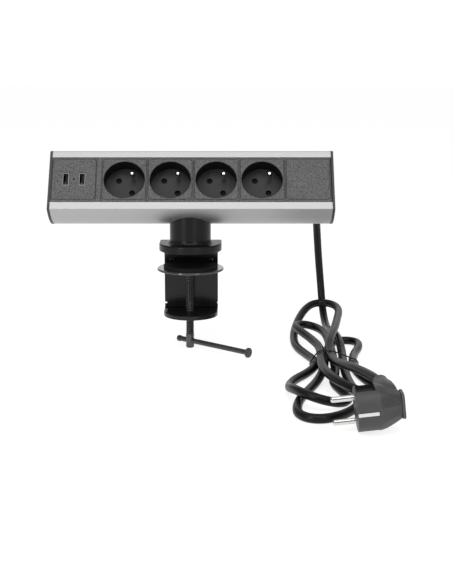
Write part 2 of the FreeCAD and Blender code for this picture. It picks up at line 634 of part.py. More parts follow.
def pressure_pad():
    top = DISC_TOP + JAW_PAD_T
    pad = rod(JAW_PAD_R, 0, 0, DISC_TOP + 0.02, top)
    pad = pad.common(box(-DISC_R, -DISC_R, DISC_TOP, DISC_R, DISC_FLAT - 0.6, top + 1))
    return pad.cut(rod(5.2, SCREW_X, 0, DISC_TOP - 1, top + 1))


def disc_rivet():
    """Swivel rivet: its head lies in the pad's well, its shank turns in the screw's top."""
    shank = rod(RIVET_R - 0.01, SCREW_X, 0, SCREW_TOP - 6.0, DISC_TOP + 0.1)
    head = Part.makeSphere(6.4, V(SCREW_X, 0, DISC_TOP - 4.6))
    head = head.common(rod(4.6, SCREW_X, 0, DISC_TOP + 0.02, DISC_TOP + 3))
    return shank.fuse(head)


def clamp_screw():
    thread = rod(SCREW_R, SCREW_X, 0, SCREW_PLAIN, SCREW_TOP)
    tip = rod(SCREW_TIP_R, SCREW_X, 0, SCREW_END + 0.8, SCREW_PLAIN + 0.1)
    nose = Part.makeCone(SCREW_TIP_R - 0.8, SCREW_TIP_R, 0.8, V(SCREW_X, 0, SCREW_END))
    body = thread.fuse([tip, nose])
    body = body.cut(rod(RIVET_R + RUN, SCREW_X, 0, SCREW_TOP - 6.3, SCREW_TOP + 1))
    cross = tommy_rod(TOMMY_R + RUN, -10, 10)
    return body.cut(cross)


def tommy_rod(r, t0, t1):
    a = math.radians(TOMMY_TURN)
    way = V(math.cos(a), math.sin(a), 0)
    at = V(SCREW_X, 0, TOMMY_Z)
    return Part.makeCylinder(r, t1 - t0, at.add(V(way).multiply(t0)), way)


def tommy_bar():
    """The turning handle: a rod with a nail head at one end and an upset tip at the other."""
    shaft = tommy_rod(TOMMY_R, TOMMY_BACK, TOMMY_FRONT)
    head = tommy_rod(TOMMY_HEAD_R, TOMMY_FRONT - 2.0, TOMMY_FRONT)
    step = tommy_rod(TOMMY_R + 0.9, TOMMY_FRONT - 3.6, TOMMY_FRONT - 1.9)
    tip = tommy_rod(TOMMY_R + 0.45, TOMMY_BACK, TOMMY_BACK + 3.0)
    return shaft.fuse([head, step, tip])


def unit(v):
    return V(v).multiply(1.0 / v.Length)


def tube_path(points):
    """Straight runs joined by arcs, each as large as its two runs allow."""
    pts = [V(*p) for p in points]
    edges = []
    radii = []
    last = pts[0]
    for before, at, after in zip(pts, pts[1:], pts[2:]):
        back, ahead = unit(before.sub(at)), unit(after.sub(at))
        run = min(before.sub(at).Length, after.sub(at).Length)
        half_turn = (math.pi - back.getAngle(ahead)) / 2
        radius = 0.45 * run / math.tan(half_turn)
        start = at.add(V(back).multiply(0.45 * run))
        end = at.add(V(ahead).multiply(0.45 * run))
        inward = unit(back.add(ahead))
        middle = at.add(inward.multiply(radius / math.cos(half_turn) - radius))
        edges.append(Part.LineSegment(last, start).toShape())
        edges.append(Part.Arc(start, middle, end).toShape())
        radii.append(radius)
        last = end
    edges.append(Part.LineSegment(last, pts[-1]).toShape())
    return Part.Wire(edges), radii


def tube(points):
    """The cord's round section swept along a route; also its length and arc radii."""
    path, radii = tube_path(points)
    start, second = V(*points[0]), V(*points[1])
    section = Part.Wire([Part.makeCircle(CORD_R, start, second.sub(start))])
    return path.makePipeShell([section], True, False), path.Length, radii


def power_cord():
    cord, length, radii = tube(CORD_ROUTE)
    expected = math.pi * CORD_R ** 2 * length
    print("cord length", round(length, 1), "mm")
    print("cord radii", [round(r, 1) for r in radii])
    print("cord volume over section times length", round(cord.Volume / expected, 4))
    return cord


def cable_tie():
    """Loop of coated wire round the seven strands, made of short straight lengths."""
    points = [V(x, TIE_Y, z) for x, z in TIE_LOOP]
    pieces = []
    for a, b in zip(points, points[1:] + points[:1]):
        pieces.append(rod_along(TIE_R, a, b))
        pieces.append(Part.makeSphere(TIE_R, a))
    return pieces[0].fuse(pieces[1:])


def lean(shape):
    """Turns a piece of the plug, built along X, into the way it lies."""
    placed = shape.copy()
    placed.rotate(V(PLUG_FACE_X, PLUG_Y, PLUG_Z), V(0, 1, 0), PLUG_LEAN)
    return placed


def plug_body():
    """Angled mains plug: round drum with the pins, tapered back and a collar for the cord."""
    out = V(1, 0, 0)
    face = PLUG_FACE_X
    drum = Part.makeCylinder(PLUG_R, PLUG_DRUM, V(face, PLUG_Y, PLUG_Z), out)
    back_x = face + PLUG_DRUM
    taper = PLUG_END_X - back_x + 0.1
    back = Part.makeCone(PLUG_R, 9.0, taper, V(back_x - 0.1, PLUG_Y, PLUG_Z), out)
    body = drum.fuse(back)
    for z in PLUG_PIN_Z:
        body = body.cut(rod_along(2.0, V(face - 1, PLUG_Y, z), V(face + 9, PLUG_Y, z)))
    earth_y = PLUG_Y - EARTH_OFFSET
    body = body.cut(rod_along(2.6, V(face - 1, earth_y, PLUG_Z), V(face + 15, earth_y, PLUG_Z)))
    for side in (-1, 1):
        y0, y1 = sorted((PLUG_Y + side * (PLUG_R - 1.5), PLUG_Y + side * (PLUG_R + 1)))
        body = body.cut(box(face - 1, y0, PLUG_Z - 1.7, face + 17, y1, PLUG_Z + 1.7))
        z0, z1 = sorted((PLUG_Z + side * (PLUG_R - 2.9), PLUG_Z + side * (PLUG_R + 1)))
        body = body.cut(box(face + 1.2, PLUG_Y - 5, z0, face + 13.6, PLUG_Y + 5, z1))
    mouth = V(*CORD_ROUTE[-2])
    root = V(PLUG_END_X - 11, PLUG_Y + 4, PLUG_Z + 8)
    line = root.sub(mouth)
    collar = Part.makeCone(6.4, 10.0, line.Length, mouth, line)
    return lean(body).fuse(collar).cut(tube(CORD_ROUTE[-3:])[0])


def plug_pins():
    pins = []
    tip = PLUG_FACE_X - PLUG_PIN
    for z in PLUG_PIN_Z:
        shank = rod_along(PLUG_PIN_R, V(tip + 1.2, PLUG_Y, z), V(PLUG_FACE_X - 0.02, PLUG_Y, z))
        root = rod_along(1.98, V(PLUG_FACE_X - 1, PLUG_Y, z), V(PLUG_FACE_X + 8.9, PLUG_Y, z))
        nose = Part.makeCone(1.3, PLUG_PIN_R, 1.2, V(tip, PLUG_Y, z), V(1, 0, 0))
        pins.append(lean(shank.fuse([root, nose])))
    return pins


def plug_clips():
    """The two earth contacts let into the drum's sides."""
    clips = []
    x0, x1 = PLUG_FACE_X + 0.2, PLUG_FACE_X + 16.8
    for side in (-1, 1):
        y0, y1 = sorted((PLUG_Y + side * (PLUG_R - 1.4), PLUG_Y + side * (PLUG_R - 0.5)))
        clips.append(lean(box(x0, y0, PLUG_Z - 1.4, x1, y1, PLUG_Z + 1.4)))
    return clips


def main():
    save("housing_profile", housing_profile())
    save("left_end_cap", end_cap(IN0, -1))
    save("right_end_cap", end_cap(IN1, 1))
    save("end_cap_screws", *cap_screws())
    save("usb_frame", on_face(module_frame(USB_MODULE), USB_X))
    save("usb_panel", on_face(usb_panel(), USB_X))
    save("usb_port_shells", *[on_face(s, USB_X) for s in usb_shells()])
    save("usb_tongues", *[on_face(s, USB_X) for s in usb_tongues()])
    save("usb_indicator", on_face(led(), USB_X))
    save("usb_circuit_board", on_face(usb_board(), USB_X))
    half = SPACER / 2 - 0.05
    spacer = box(-half, -WINDOW / 2 + 0.05, -RECESS - FRAME_T, half, WINDOW / 2 - 0.05, -RECESS)
    save("spacer_strip", on_face(spacer, SPACER_X))
    for i, x in enumerate(SOCKET_X, 1):
        save("socket_frame_%d" % i, on_face(module_frame(MODULE), x))
        save("socket_cover_%d" % i, on_face(socket_cover(), x))
        save("socket_base_%d" % i, on_face(socket_base(), x))
        save("earth_pin_%d" % i, on_face(earth_pin(), x))
        save("shutter_%d" % i, on_face(shutter(), x))
        save("shutter_spring_%d" % i, *[on_face(r, x) for r in shutter_spring()])
    save("blank_frame", on_face(module_frame(MODULE), BLANK_X))
    save("blank_panel", on_face(panel(), BLANK_X))
    save("live_busbar", on_face(busbar(0.5, 3.7, PIN_OFF, -1, BUS_END), 0))
    save("neutral_busbar", on_face(busbar(-PIN_OFF - 2.6, -PIN_OFF + 2.6, -PIN_OFF, 1, BUS_END), 0))
    save("earth_busbar", on_face(earth_busbar(BUS_END + 6), 0))
    save("internal_wires", *wires())
    save("cord_clamp", cord_clamp())
    save("cord_clamp_screws", *clamp_screws())
    save("strain_relief", strain_relief())
    save("support_column", support_column())
    save("column_screws", *column_screws())
    save("clamp_bracket", clamp_bracket())
    save("bracket_rivets", *bracket_rivets())
    save("upper_pad", upper_pad())
    save("pressure_disc", pressure_disc())
    save("pressure_pad", pressure_pad())
    save("disc_rivet", disc_rivet())
    save("clamp_screw", clamp_screw())
    save("tommy_bar", tommy_bar())
    save("power_cord", power_cord())
    save("cable_tie", cable_tie())
    save("plug_body", plug_body())
    save("plug_pins", *plug_pins())
    save("plug_earth_clips", *plug_clips())


main()
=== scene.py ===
import json
import math
import bpy
import bmesh
from mathutils import Matrix, Vector


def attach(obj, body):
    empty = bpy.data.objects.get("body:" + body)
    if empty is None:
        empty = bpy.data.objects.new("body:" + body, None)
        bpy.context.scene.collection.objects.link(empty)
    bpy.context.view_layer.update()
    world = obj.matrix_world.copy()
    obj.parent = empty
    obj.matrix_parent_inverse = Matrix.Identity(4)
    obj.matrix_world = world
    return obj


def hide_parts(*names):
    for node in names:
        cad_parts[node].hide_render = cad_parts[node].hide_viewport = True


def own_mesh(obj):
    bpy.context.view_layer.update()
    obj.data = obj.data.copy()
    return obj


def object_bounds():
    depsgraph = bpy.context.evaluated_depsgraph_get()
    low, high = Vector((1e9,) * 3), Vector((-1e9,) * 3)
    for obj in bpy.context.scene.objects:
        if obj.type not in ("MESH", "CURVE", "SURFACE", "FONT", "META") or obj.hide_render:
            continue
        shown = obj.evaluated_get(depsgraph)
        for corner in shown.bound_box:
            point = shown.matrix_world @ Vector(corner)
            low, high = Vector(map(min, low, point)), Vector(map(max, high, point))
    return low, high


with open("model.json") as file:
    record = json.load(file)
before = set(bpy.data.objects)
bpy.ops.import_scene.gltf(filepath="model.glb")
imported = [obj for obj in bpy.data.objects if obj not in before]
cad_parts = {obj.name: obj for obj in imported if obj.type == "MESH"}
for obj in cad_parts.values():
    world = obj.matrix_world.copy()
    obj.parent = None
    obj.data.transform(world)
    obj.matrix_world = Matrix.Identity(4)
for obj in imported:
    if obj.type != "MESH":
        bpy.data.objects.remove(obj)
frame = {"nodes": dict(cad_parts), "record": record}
cad_box = [list(corner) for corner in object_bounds()]
nodes = frame["nodes"]
scene = bpy.context.scene
MM = 0.001
SOCKETS = range(1, 5)


def add(name, data):
    """Puts new data into the scene as an object."""
    obj = bpy.data.objects.new(name, data)
    scene.collection.objects.link(obj)
    return obj


# ---------------------------------------------------------------- camera
CAMERA_PLACE = (0.0356, -1.1167, 0.1946)
CAMERA_PITCH = 78        # degrees, where 90 looks level
CAMERA_LENS = 69.66
SENSOR_WIDTH = 36
FARTHEST_SEEN = 40

camera = add("camera", bpy.data.cameras.new("camera"))
camera.location = CAMERA_PLACE
camera.rotation_euler = (math.radians(CAMERA_PITCH), 0, 0)
camera.data.lens = CAMERA_LENS
camera.data.sensor_width = SENSOR_WIDTH
camera.data.clip_end = FARTHEST_SEEN
scene.camera = camera


# ---------------------------------------------------------------- shader nodes
NOISE_LOW, NOISE_HIGH = 0.3, 0.7      # the band in which most of a noise lies


def link(tree, a, b):
    tree.links.new(a, b)


def coordinates(tree, stretch):
    place = tree.nodes.new("ShaderNodeTexCoord")
    mapping = tree.nodes.new("ShaderNodeMapping")
    mapping.inputs["Scale"].default_value = stretch
    link(tree, place.outputs["Object"], mapping.inputs["Vector"])
    return mapping.outputs["Vector"]


def noise(tree, where, scale, detail, rough=0.5):
    node = tree.nodes.new("ShaderNodeTexNoise")
    node.inputs["Scale"].default_value = scale
    node.inputs["Detail"].default_value = detail
    node.inputs["Roughness"].default_value = rough
    link(tree, where, node.inputs["Vector"])
    return node.outputs["Fac"]


def ramp(tree, value, low, high, start=NOISE_LOW, end=NOISE_HIGH):
    """Colours from low to high as the value runs from start to end."""
    node = tree.nodes.new("ShaderNodeValToRGB")
    node.color_ramp.elements[0].position = start
    node.color_ramp.elements[1].position = end
    node.color_ramp.elements[0].color = low
    node.color_ramp.elements[1].color = high
    link(tree, value, node.inputs["Fac"])
    return node.outputs["Color"]


def spread(tree, value, start, end, low, high, smooth=False):
    """Runs from low to high as the value runs from start to end."""
    node = tree.nodes.new("ShaderNodeMapRange")
    if smooth:
        node.interpolation_type = "SMOOTHSTEP"
    node.inputs["From Min"].default_value = start
    node.inputs["From Max"].default_value = end
    node.inputs["To Min"].default_value = low
    node.inputs["To Max"].default_value = high
    link(tree, value, node.inputs["Value"])
    return node.outputs["Result"]


def math_node(tree, operation, a, b=None):
    """One Math node on one or two values."""
    node = tree.nodes.new("ShaderNodeMath")
    node.operation = operation
    link(tree, a, node.inputs[0])
    if b is not None:
        link(tree, b, node.inputs[1])
    return node.outputs["Value"]


# ---------------------------------------------------------------- materials
ROUGH_SWING = 0.1                     # a surface's gloss varies by this share
EDGE_START, EDGE_END = 0.52, 0.62     # pointiness where the lighter edge, partly wear and partly painted highlight, begins and is full
WEAR_AND_HIGHLIGHT_GAIN, WEAR_AND_HIGHLIGHT_LIFT = 3, 0.03        # an edge, worn and with a painted highlight, is this much lighter


def material(name, colour, rough, metal=0.0, vary=0.12, vary_scale=40.0, grain=0.1,
             grain_scale=2500.0, grain_depth=0.05, speckle=0.0, stretch=(1, 1, 1),
             specular=0.5, coat=0.0, edge_wear_and_highlight=0.0):
    """A surface with uneven colour and gloss, a fine grain, and lighter edges that are partly
    wear and partly a painted highlight.
    """
    made = bpy.data.materials.new(name)
    made.use_nodes = True
    tree = made.node_tree
    shader = tree.nodes["Principled BSDF"]
    shader.inputs["Metallic"].default_value = metal
    shader.inputs["Specular IOR Level"].default_value = specular
    shader.inputs["Coat Weight"].default_value = coat
    where = coordinates(tree, stretch)
    patches = noise(tree, where, vary_scale, detail=4.0)
    fine = noise(tree, where, grain_scale, detail=2.0, rough=0.6)
    low = [c * (1 - vary) for c in colour] + [1]
    high = [min(1, c * (1 + vary)) for c in colour] + [1]
    base = ramp(tree, patches, low, high)
    if speckle:
        mix = tree.nodes.new("ShaderNodeMix")
        mix.data_type = "RGBA"
        mix.blend_type = "MULTIPLY"
        mix.inputs["Factor"].default_value = 1.0
        dark = [1 - speckle] * 3 + [1]
        light = [1 + speckle] * 3 + [1]
        link(tree, base, mix.inputs["A"])
        grains = ramp(tree, fine, dark, light, start=0.35, end=0.65)
        link(tree, grains, mix.inputs["B"])
        base = mix.outputs["Result"]
    # Partly wear, partly painted highlight: sharp convex edges are lightened by their
    # pointiness.
    if edge_wear_and_highlight:
        geometry = tree.nodes.new("ShaderNodeNewGeometry")
        edge = spread(tree, geometry.outputs["Pointiness"], EDGE_START, EDGE_END, 0.0, edge_wear_and_highlight)
        mix = tree.nodes.new("ShaderNodeMix")
        mix.data_type = "RGBA"
        mix.inputs["B"].default_value = [min(1, c * WEAR_AND_HIGHLIGHT_GAIN + WEAR_AND_HIGHLIGHT_LIFT)
                                          for c in colour] + [1]
        link(tree, edge, mix.inputs["Factor"])
        link(tree, base, mix.inputs["A"])
        base = mix.outputs["Result"]
    link(tree, base, shader.inputs["Base Color"])
    gloss = spread(tree, patches, NOISE_LOW, NOISE_HIGH,
                   rough * (1 - ROUGH_SWING), rough * (1 + ROUGH_SWING))
    link(tree, gloss, shader.inputs["Roughness"])
    bump = tree.nodes.new("ShaderNodeBump")
    bump.inputs["Strength"].default_value = grain
    bump.inputs["Distance"].default_value = grain_depth * MM
    link(tree, fine, bump.inputs["Height"])
    link(tree, bump.outputs["Normal"], shader.inputs["Normal"])
    return made


# The bar: satin anodised aluminium, matt caps, and coarse-grained inserts.
ALUMINIUM = material("satin_aluminium", (0.42, 0.42, 0.425), 0.50, metal=1.0, vary=0.03,
                     vary_scale=9.0, grain=0.25, grain_scale=1400.0, grain_depth=0.02,
                     stretch=(0.02, 1, 1))
CAP = material("cap_plastic", (0.022, 0.022, 0.024), 0.5, grain=0.4, speckle=0.15)
INSERT = material("insert_plastic", (0.069, 0.069, 0.071), 0.55, vary=0.06, grain=0.8,
                  grain_scale=800.0, grain_depth=0.3, speckle=0.6)
# Painted shade: the floor and walls of the socket wells are much darker than the panel, the
# walls darkest, for the shade inside the recess.
SHADED_WELL_FLOOR = material("well_floor_painted_shade", (0.024, 0.024, 0.025), 0.50, grain=0.3,
                 grain_scale=1500.0, speckle=0.2, specular=0.3)
SHADED_WELL_WALL = material("well_wall_painted_shade", (0.005, 0.005, 0.005), 0.42, grain=0.2,
                grain_scale=2000.0, speckle=0.12, specular=0.15)
BASE = material("base_plastic", (0.018, 0.018, 0.018), 0.6)
PORT = material("port_plastic", (0.008, 0.008, 0.008), 0.5, specular=0.2)
SHUTTER = material("shutter_plastic", (0.006, 0.006, 0.006), 0.6, speckle=0.1, specular=0.08)
LENS = material("indicator_lens", (0.006, 0.006, 0.008), 0.35, specular=0.15)
PORT_STEEL = material("port_steel", (0.24, 0.24, 0.24), 0.3, metal=1.0, vary=0.1,
                      vary_scale=80.0)

# Metals, and the parts inside the bar.
STEEL = material("bright_steel", (0.66, 0.65, 0.63), 0.16, metal=1.0, vary=0.03,
                 vary_scale=80.0, grain=0.04, grain_scale=3000.0, grain_depth=0.02,
                 stretch=(0.1, 1, 1))
BLACKENED = material("blackened_steel", (0.040, 0.040, 0.041), 0.34, metal=0.3, vary=0.2,
                     vary_scale=60.0, grain=0.3, edge_wear_and_highlight=0.4)
SCREW = material("screw_steel", (0.09, 0.09, 0.09), 0.26, metal=1.0, vary=0.2,
                 vary_scale=60.0, grain_depth=0.03)
BRASS = material("brass_strip", (0.62, 0.45, 0.20), 0.3, metal=1.0, vary=0.08,
                 vary_scale=50.0)
BOARD = material("board_resist", (0.02, 0.10, 0.045), 0.4)
WIRE = material("wire_sheath", (0.16, 0.07, 0.03), 0.45)

# The column and the clamp.
COLUMN = material("column_coat", (0.004, 0.004, 0.0042), 0.30, vary=0.1, grain=0.25,
                  grain_scale=1800.0, speckle=0.08, specular=0.19)
# The bracket's and the disc's lighter edges are partly wear and partly painted highlight.
PAINT = material("bracket_paint", (0.004, 0.004, 0.004), 0.20, vary=0.1, grain=0.12,
                 grain_scale=900.0, grain_depth=0.08, specular=0.25, coat=0.08, edge_wear_and_highlight=0.6)
DISC = material("disc_paint", (0.022, 0.022, 0.022), 0.16, vary=0.1, grain=0.06,
                grain_scale=900.0, coat=0.5, edge_wear_and_highlight=0.5)
RUBBER = material("pad_rubber", (0.004, 0.004, 0.004), 0.75, grain=0.5, speckle=0.2,
                  specular=0.25)

# The cord and its plug.
SHEATH = material("cord_sheath", (0.005, 0.005, 0.0054), 0.36, vary=0.14, vary_scale=30.0,
                  grain=0.25, grain_scale=2200.0, speckle=0.08, specular=0.18)
PLUG = material("plug_plastic", (0.036, 0.036, 0.038), 0.48, grain=0.45, grain_scale=2000.0,
                grain_depth=0.08, speckle=0.12, edge_wear_and_highlight=0.2)
# Painted shade: the plug's notches get a darker plastic for the shade inside them.
SHADED_SLOT = material("plug_slot_painted_shade", (0.008, 0.008, 0.008), 0.6, specular=0.15)

BY_SLOT = {
    "aluminium_body": ALUMINIUM, "black_plastic": CAP, "insert_plastic": INSERT,
    "dark_steel": BLACKENED, "bright_steel": STEEL, "port_plastic": PORT,
    "indicator_lens": LENS, "board_green": BOARD, "brass_strip": BRASS,
    "wire_sheath": WIRE, "cord_sheath": SHEATH, "column_coat": COLUMN,
    "bracket_paint": PAINT, "pad_rubber": RUBBER, "plug_plastic": PLUG,
}


def dress(obj, made):
    obj.data.materials.clear()
    obj.data.materials.append(made)


for part in frame["record"]["subparts"]:
    dress(nodes[part["node"]], BY_SLOT[part["material_slot"]])
for i in SOCKETS:
    dress(nodes["socket_base_%d" % i], BASE)
    dress(nodes["shutter_%d" % i], SHUTTER)
dress(nodes["pressure_disc"], DISC)
dress(nodes["bracket_rivets"], PAINT)
dress(nodes["usb_port_shells"], PORT_STEEL)

# ---------------------------------------------------------------- socket wells
# The panel of the sockets leans back: a point on its face, and the way that it looks.
FACE_POINT = Vector((0, -12.26, 72.44)) * MM
FACE_NORMAL = Vector((0, -0.8242, 0.5663))
RIM_DEPTH = 0.9 * MM     # whatever lies deeper belongs to a well
FLAT_ENOUGH = 0.7        # cosine that tells a well's floor from its wall

# The wells are moulded smoother than the panel round them, and their faces are painted darker as
# shade in the recess: the floor dark, the walls near black.
for i in SOCKETS:
    cover = nodes["socket_cover_%d" % i]
    cover.data.materials.append(SHADED_WELL_FLOOR)
    cover.data.materials.append(SHADED_WELL_WALL)
    turn = cover.matrix_world.to_3x3()
    for face in cover.data.polygons:
        height = (cover.matrix_world @ face.center - FACE_POINT).dot(FACE_NORMAL)
        if height < -RIM_DEPTH:
            flatness = abs((turn @ face.normal).dot(FACE_NORMAL))
            face.material_index = 1 if flatness > FLAT_ENOUGH else 2

# ---------------------------------------------------------------- cord
CORD_R = 4.1
# The control points of the cord, from the back of the bar to the plug, as in the CAD.
ROUTE = [
    (131.5, 26.0, 44.5), (131.5, 62.0, 44.5), (132.5, 92.0, 29.0), (135.5, 112.0, 2.0),
    (138.5, 121.0, -30.0), (141.5, 123.0, -60.0), (143.0, 112.0, -85.0), (144.0, 86.0, -96.0),
    (144.5, 58.0, -96.0), (145.5, 30.0, -89.9), (147.0, 4.0, -86.8), (149.0, -22.0, -88.0),
    (149.0, -50.0, -93.5), (146.7, -82.0, -94.5), (145.5, -122.0, -96.0), (147.5, -158.0, -96.0),
    (151.5, -186.0, -96.0), (146.5, -211.0, -96.0), (133.0, -232.0, -96.0),
    (117.0, -243.5, -96.0), (103.0, -242.5, -96.0), (94.5, -230.0, -96.0), (95.0, -211.0, -96.0),
    (99.0, -190.0, -96.0), (107.0, -167.0, -96.0), (117.0, -140.0, -96.0),
    (124.5, -112.0, -95.4), (129.6, -80.0, -94.4), (131.8, -42.0, -96.0), (140.0, -12.0, -96.0),
    (146.0, 5.0, -96.0), (154.0, 11.0, -96.0), (164.0, 10.5, -96.0), (170.5, 2.0, -96.0),
    (169.0, -17.0, -96.0), (161.0, -43.0, -96.0), (155.6, -78.0, -94.4), (155.5, -104.0, -94.9),
    (161.0, -131.0, -96.0), (172.0, -156.0, -96.0), (183.0, -178.0, -96.0),
    (180.0, -198.0, -96.0), (166.0, -207.0, -92.0), (150.0, -200.0, -86.5),
    (138.0, -181.0, -86.0), (128.0, -153.0, -86.3), (123.3, -118.0, -86.8),
    (125.4, -84.0, -87.0), (126.5, -56.0, -85.0), (119.5, -27.0, -84.0), (111.0, -5.0, -82.0),
    (106.5, 14.0, -82.0), (110.0, 27.0, -83.0), (119.5, 33.5, -84.5), (130.0, 28.5, -86.5),
    (136.0, 11.0, -87.0), (137.5, -12.0, -87.0), (138.0, -44.0, -87.9), (138.3, -80.0, -94.2),
    (137.0, -112.0, -95.6), (131.0, -140.0, -96.0), (137.0, -168.0, -96.0),
    (142.0, -189.0, -96.0), (133.0, -206.0, -95.0), (116.0, -212.0, -90.0),
    (101.5, -204.0, -86.8), (93.5, -184.0, -88.5), (90.5, -158.0, -95.0), (96.5, -133.0, -96.0),
    (111.0, -110.0, -96.0), (119.7, -92.0, -94.5), (121.0, -71.0, -95.0), (114.5, -45.0, -96.0),
    (106.0, -15.0, -96.0), (105.0, 15.0, -94.5), (109.0, 46.0, -89.0), (117.5, 75.0, -82.0),
    (127.0, 94.0, -77.5), (137.0, 102.5, -76.5), (149.0, 100.5, -76.5), (156.0, 87.0, -77.0),
    (157.0, 66.0, -77.5), (152.0, 34.0, -78.0), (145.0, -10.0, -78.2), (136.6, -46.0, -78.9),
    (134.3, -66.0, -83.6), (133.9, -86.0, -87.2), (136.5, -118.0, -83.5), (145.0, -160.0, -75.5),
    (156.0, -200.0, -71.0), (162.0, -226.0, -70.0), (165.0, -240.0, -72.0),
]


def make_cord():
    curve = bpy.data.curves.new("mains_cord", "CURVE")
    curve.dimensions = "3D"
    curve.resolution_u = 8
    curve.bevel_depth = CORD_R * MM
    curve.bevel_resolution = 5
    curve.use_fill_caps = True
    spline = curve.splines.new("NURBS")
    spline.points.add(len(ROUTE) - 1)
    for point, at in zip(spline.points, ROUTE):
        point.co = (*[c * MM for c in at], 1)
    spline.order_u = 3
    spline.use_endpoint_u = True
    curve.materials.append(SHEATH)
    return add("mains_cord", curve)


cord = make_cord()
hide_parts("power_cord")
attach(cord, "strip")


# ---------------------------------------------------------------- mesh helpers
def new_object(name, bm, made, smooth_angle):
    """A smooth-shaded piece, with creases where its faces meet at more than the angle."""
    mesh = bpy.data.meshes.new(name)
    bm.normal_update()
    bm.to_mesh(mesh)
    bm.free()
    for face in mesh.polygons:
        face.use_smooth = True
    mesh.set_sharp_from_angle(angle=math.radians(smooth_angle))
    mesh.materials.append(made)
    return add(name, mesh)


def skin(bm, rings, cap_start=True):
    """Joins rings of points into a tube with its end closed."""
    rows = [[bm.verts.new(p) for p in ring] for ring in rings]
    count = len(rows[0])
    for low, high in zip(rows, rows[1:]):
        for i in range(count):
            j = (i + 1) % count
            bm.faces.new((low[i], low[j], high[j], high[i]))
    if cap_start:
        bm.faces.new(rows[0][::-1])
    bm.faces.new(rows[-1])


def facet(angle, sides):
    """How far a regular polygon reaches at an angle, where its corners reach 1."""
    half = math.pi / sides
    return math.cos(half) / math.cos(angle % (2 * half) - half)


# ---------------------------------------------------------------- clamp screw
SCREW_X = -1.0
PITCH, THREAD_R, THREAD_DEPTH = 2.0, 4.3, 0.9
THREAD_TOP, THREAD_FOOT, SCREW_END = -19.4, -87.0, -100.2
RINGS_A_TURN = 8
CREST_GAP = 0.05         # the crests stay this far inside the outer radius
RUN_IN, RUN_OUT = 1.5, 1.0
ROUND_END = (          # radius and height of the plain end, from its tip up
    (3.3, SCREW_END), (4.0, SCREW_END + 0.7), (4.1, SCREW_END + 1.4),
    (4.1, THREAD_FOOT - 0.6),
)


def screw_point(r, angle, z):
    return Vector((r * math.cos(angle) + SCREW_X, r * math.sin(angle), z)) * MM


def thread_radius(turn, z):
    """The groove winds round, and runs out at both ends of the thread."""
    run_out = max(0.0, min(1.0, (z - THREAD_FOOT) / RUN_IN, (THREAD_TOP - z) / RUN_OUT))
    groove = 0.5 + 0.5 * math.cos(2 * math.pi * ((z / PITCH - turn) % 1.0))
    return THREAD_R - CREST_GAP - THREAD_DEPTH * groove * run_out


def make_screw():
    """A rolled thread down to a plain round end."""
    around = 40
    turns = [i / around for i in range(around)]
    rings = [[screw_point(r, 2 * math.pi * turn, z) for turn in turns] for r, z in ROUND_END]
    steps = int((THREAD_TOP - THREAD_FOOT) / PITCH * RINGS_A_TURN)
    for k in range(steps + 1):
        z = THREAD_FOOT + (THREAD_TOP - THREAD_FOOT) * k / steps
        rings.append([screw_point(thread_radius(turn, z), 2 * math.pi * turn, z)
                      for turn in turns])
    bm = bmesh.new()
    skin(bm, rings)
    return new_object("threaded_screw", bm, SCREW, 60)


screw = make_screw()
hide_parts("clamp_screw")
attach(screw, "clamp_screw")

# ---------------------------------------------------------------- plug
PLUG_AT = Vector((138.0, -262.0, -81.7))   # the middle of its face, as it lies
LEAN = Matrix.Rotation(math.radians(-6.5), 4, "Y")
PLUG_R = 18.5
ROUNDING = 1.0                    # of the face's edge
TAPER_FROM, TAPER_LONG = 19.0, 18.0
TAIL_WIDE, TAIL_TALL = 7.6, 9.6   # half sizes
SQUARING = 1.6                    # how much squarer the tail's section is
FLATS, FLATS_TURN = 10, 0.2       # round the taper, and their turn in radians
FLATS_GROW, FLATS_RISE = 1.03, 8  # their corners stand out, from the taper's start
NOTCH_FROM, NOTCH_TO, NOTCH_Z = 1.0, 16.2, 14.0
NOTCH_COSINE = 0.46               # half of the notch's width, as part of the radius
NOTCH_SIDE, NOTCH_IN, NOTCH_OUT = 8.5, 10, 16.2   # a box round each notch's faces
CLIP_FROM, CLIP_TO, CLIP_Y, CLIP_HALF = 0.4, 17.4, 16.9, 1.7


def laid(x, y, z):
    """A point of the plug, measured from the middle of its face, where it lies."""
    return (PLUG_AT + LEAN @ Vector((x, y, z))) * MM


def squared(c, s, power):
    """Stretches a circle's point outwards: power 2 leaves it, more makes a square."""
    return (abs(c) ** power + abs(s) ** power) ** (-1 / power)


def plug_section(x, around):
    """One cross-section: round at the face, then narrowing to a rounded tail."""
    points = []
    for i in range(around):
        a = 2 * math.pi * i / around
        c, s = math.cos(a), math.sin(a)
        r = PLUG_R
        if x < ROUNDING:
            r -= ROUNDING - math.sqrt(max(0.0, 1 - (1 - x) ** 2))
        y, z = r * c, r * s
        if x > TAPER_FROM:
            t = (x - TAPER_FROM) / TAPER_LONG
            wide = PLUG_R + (TAIL_WIDE - PLUG_R) * t
            tall = PLUG_R + (TAIL_TALL - PLUG_R) * t
            k = squared(c, s, 2.0 + SQUARING * t)
            corner = facet(a + FLATS_TURN, FLATS) * FLATS_GROW - 1
            k *= 1 + corner * min(1.0, t * FLATS_RISE)
            y, z = wide * c * k, tall * s * k
        if NOTCH_FROM < x < NOTCH_TO and abs(c) < NOTCH_COSINE:
            z = math.copysign(NOTCH_Z, s)
        if CLIP_FROM < x < CLIP_TO and abs(z) < CLIP_HALF:
            y = math.copysign(min(abs(y), CLIP_Y), y)
        points.append(laid(x, y, z))
    return points


def in_notch(at):
    """Whether a point, measured from the plug's face, is on a notch's floor or walls."""
    return (NOTCH_FROM < at.x < NOTCH_TO and abs(at.y) < NOTCH_SIDE
            and NOTCH_IN < abs(at.z) < NOTCH_OUT)


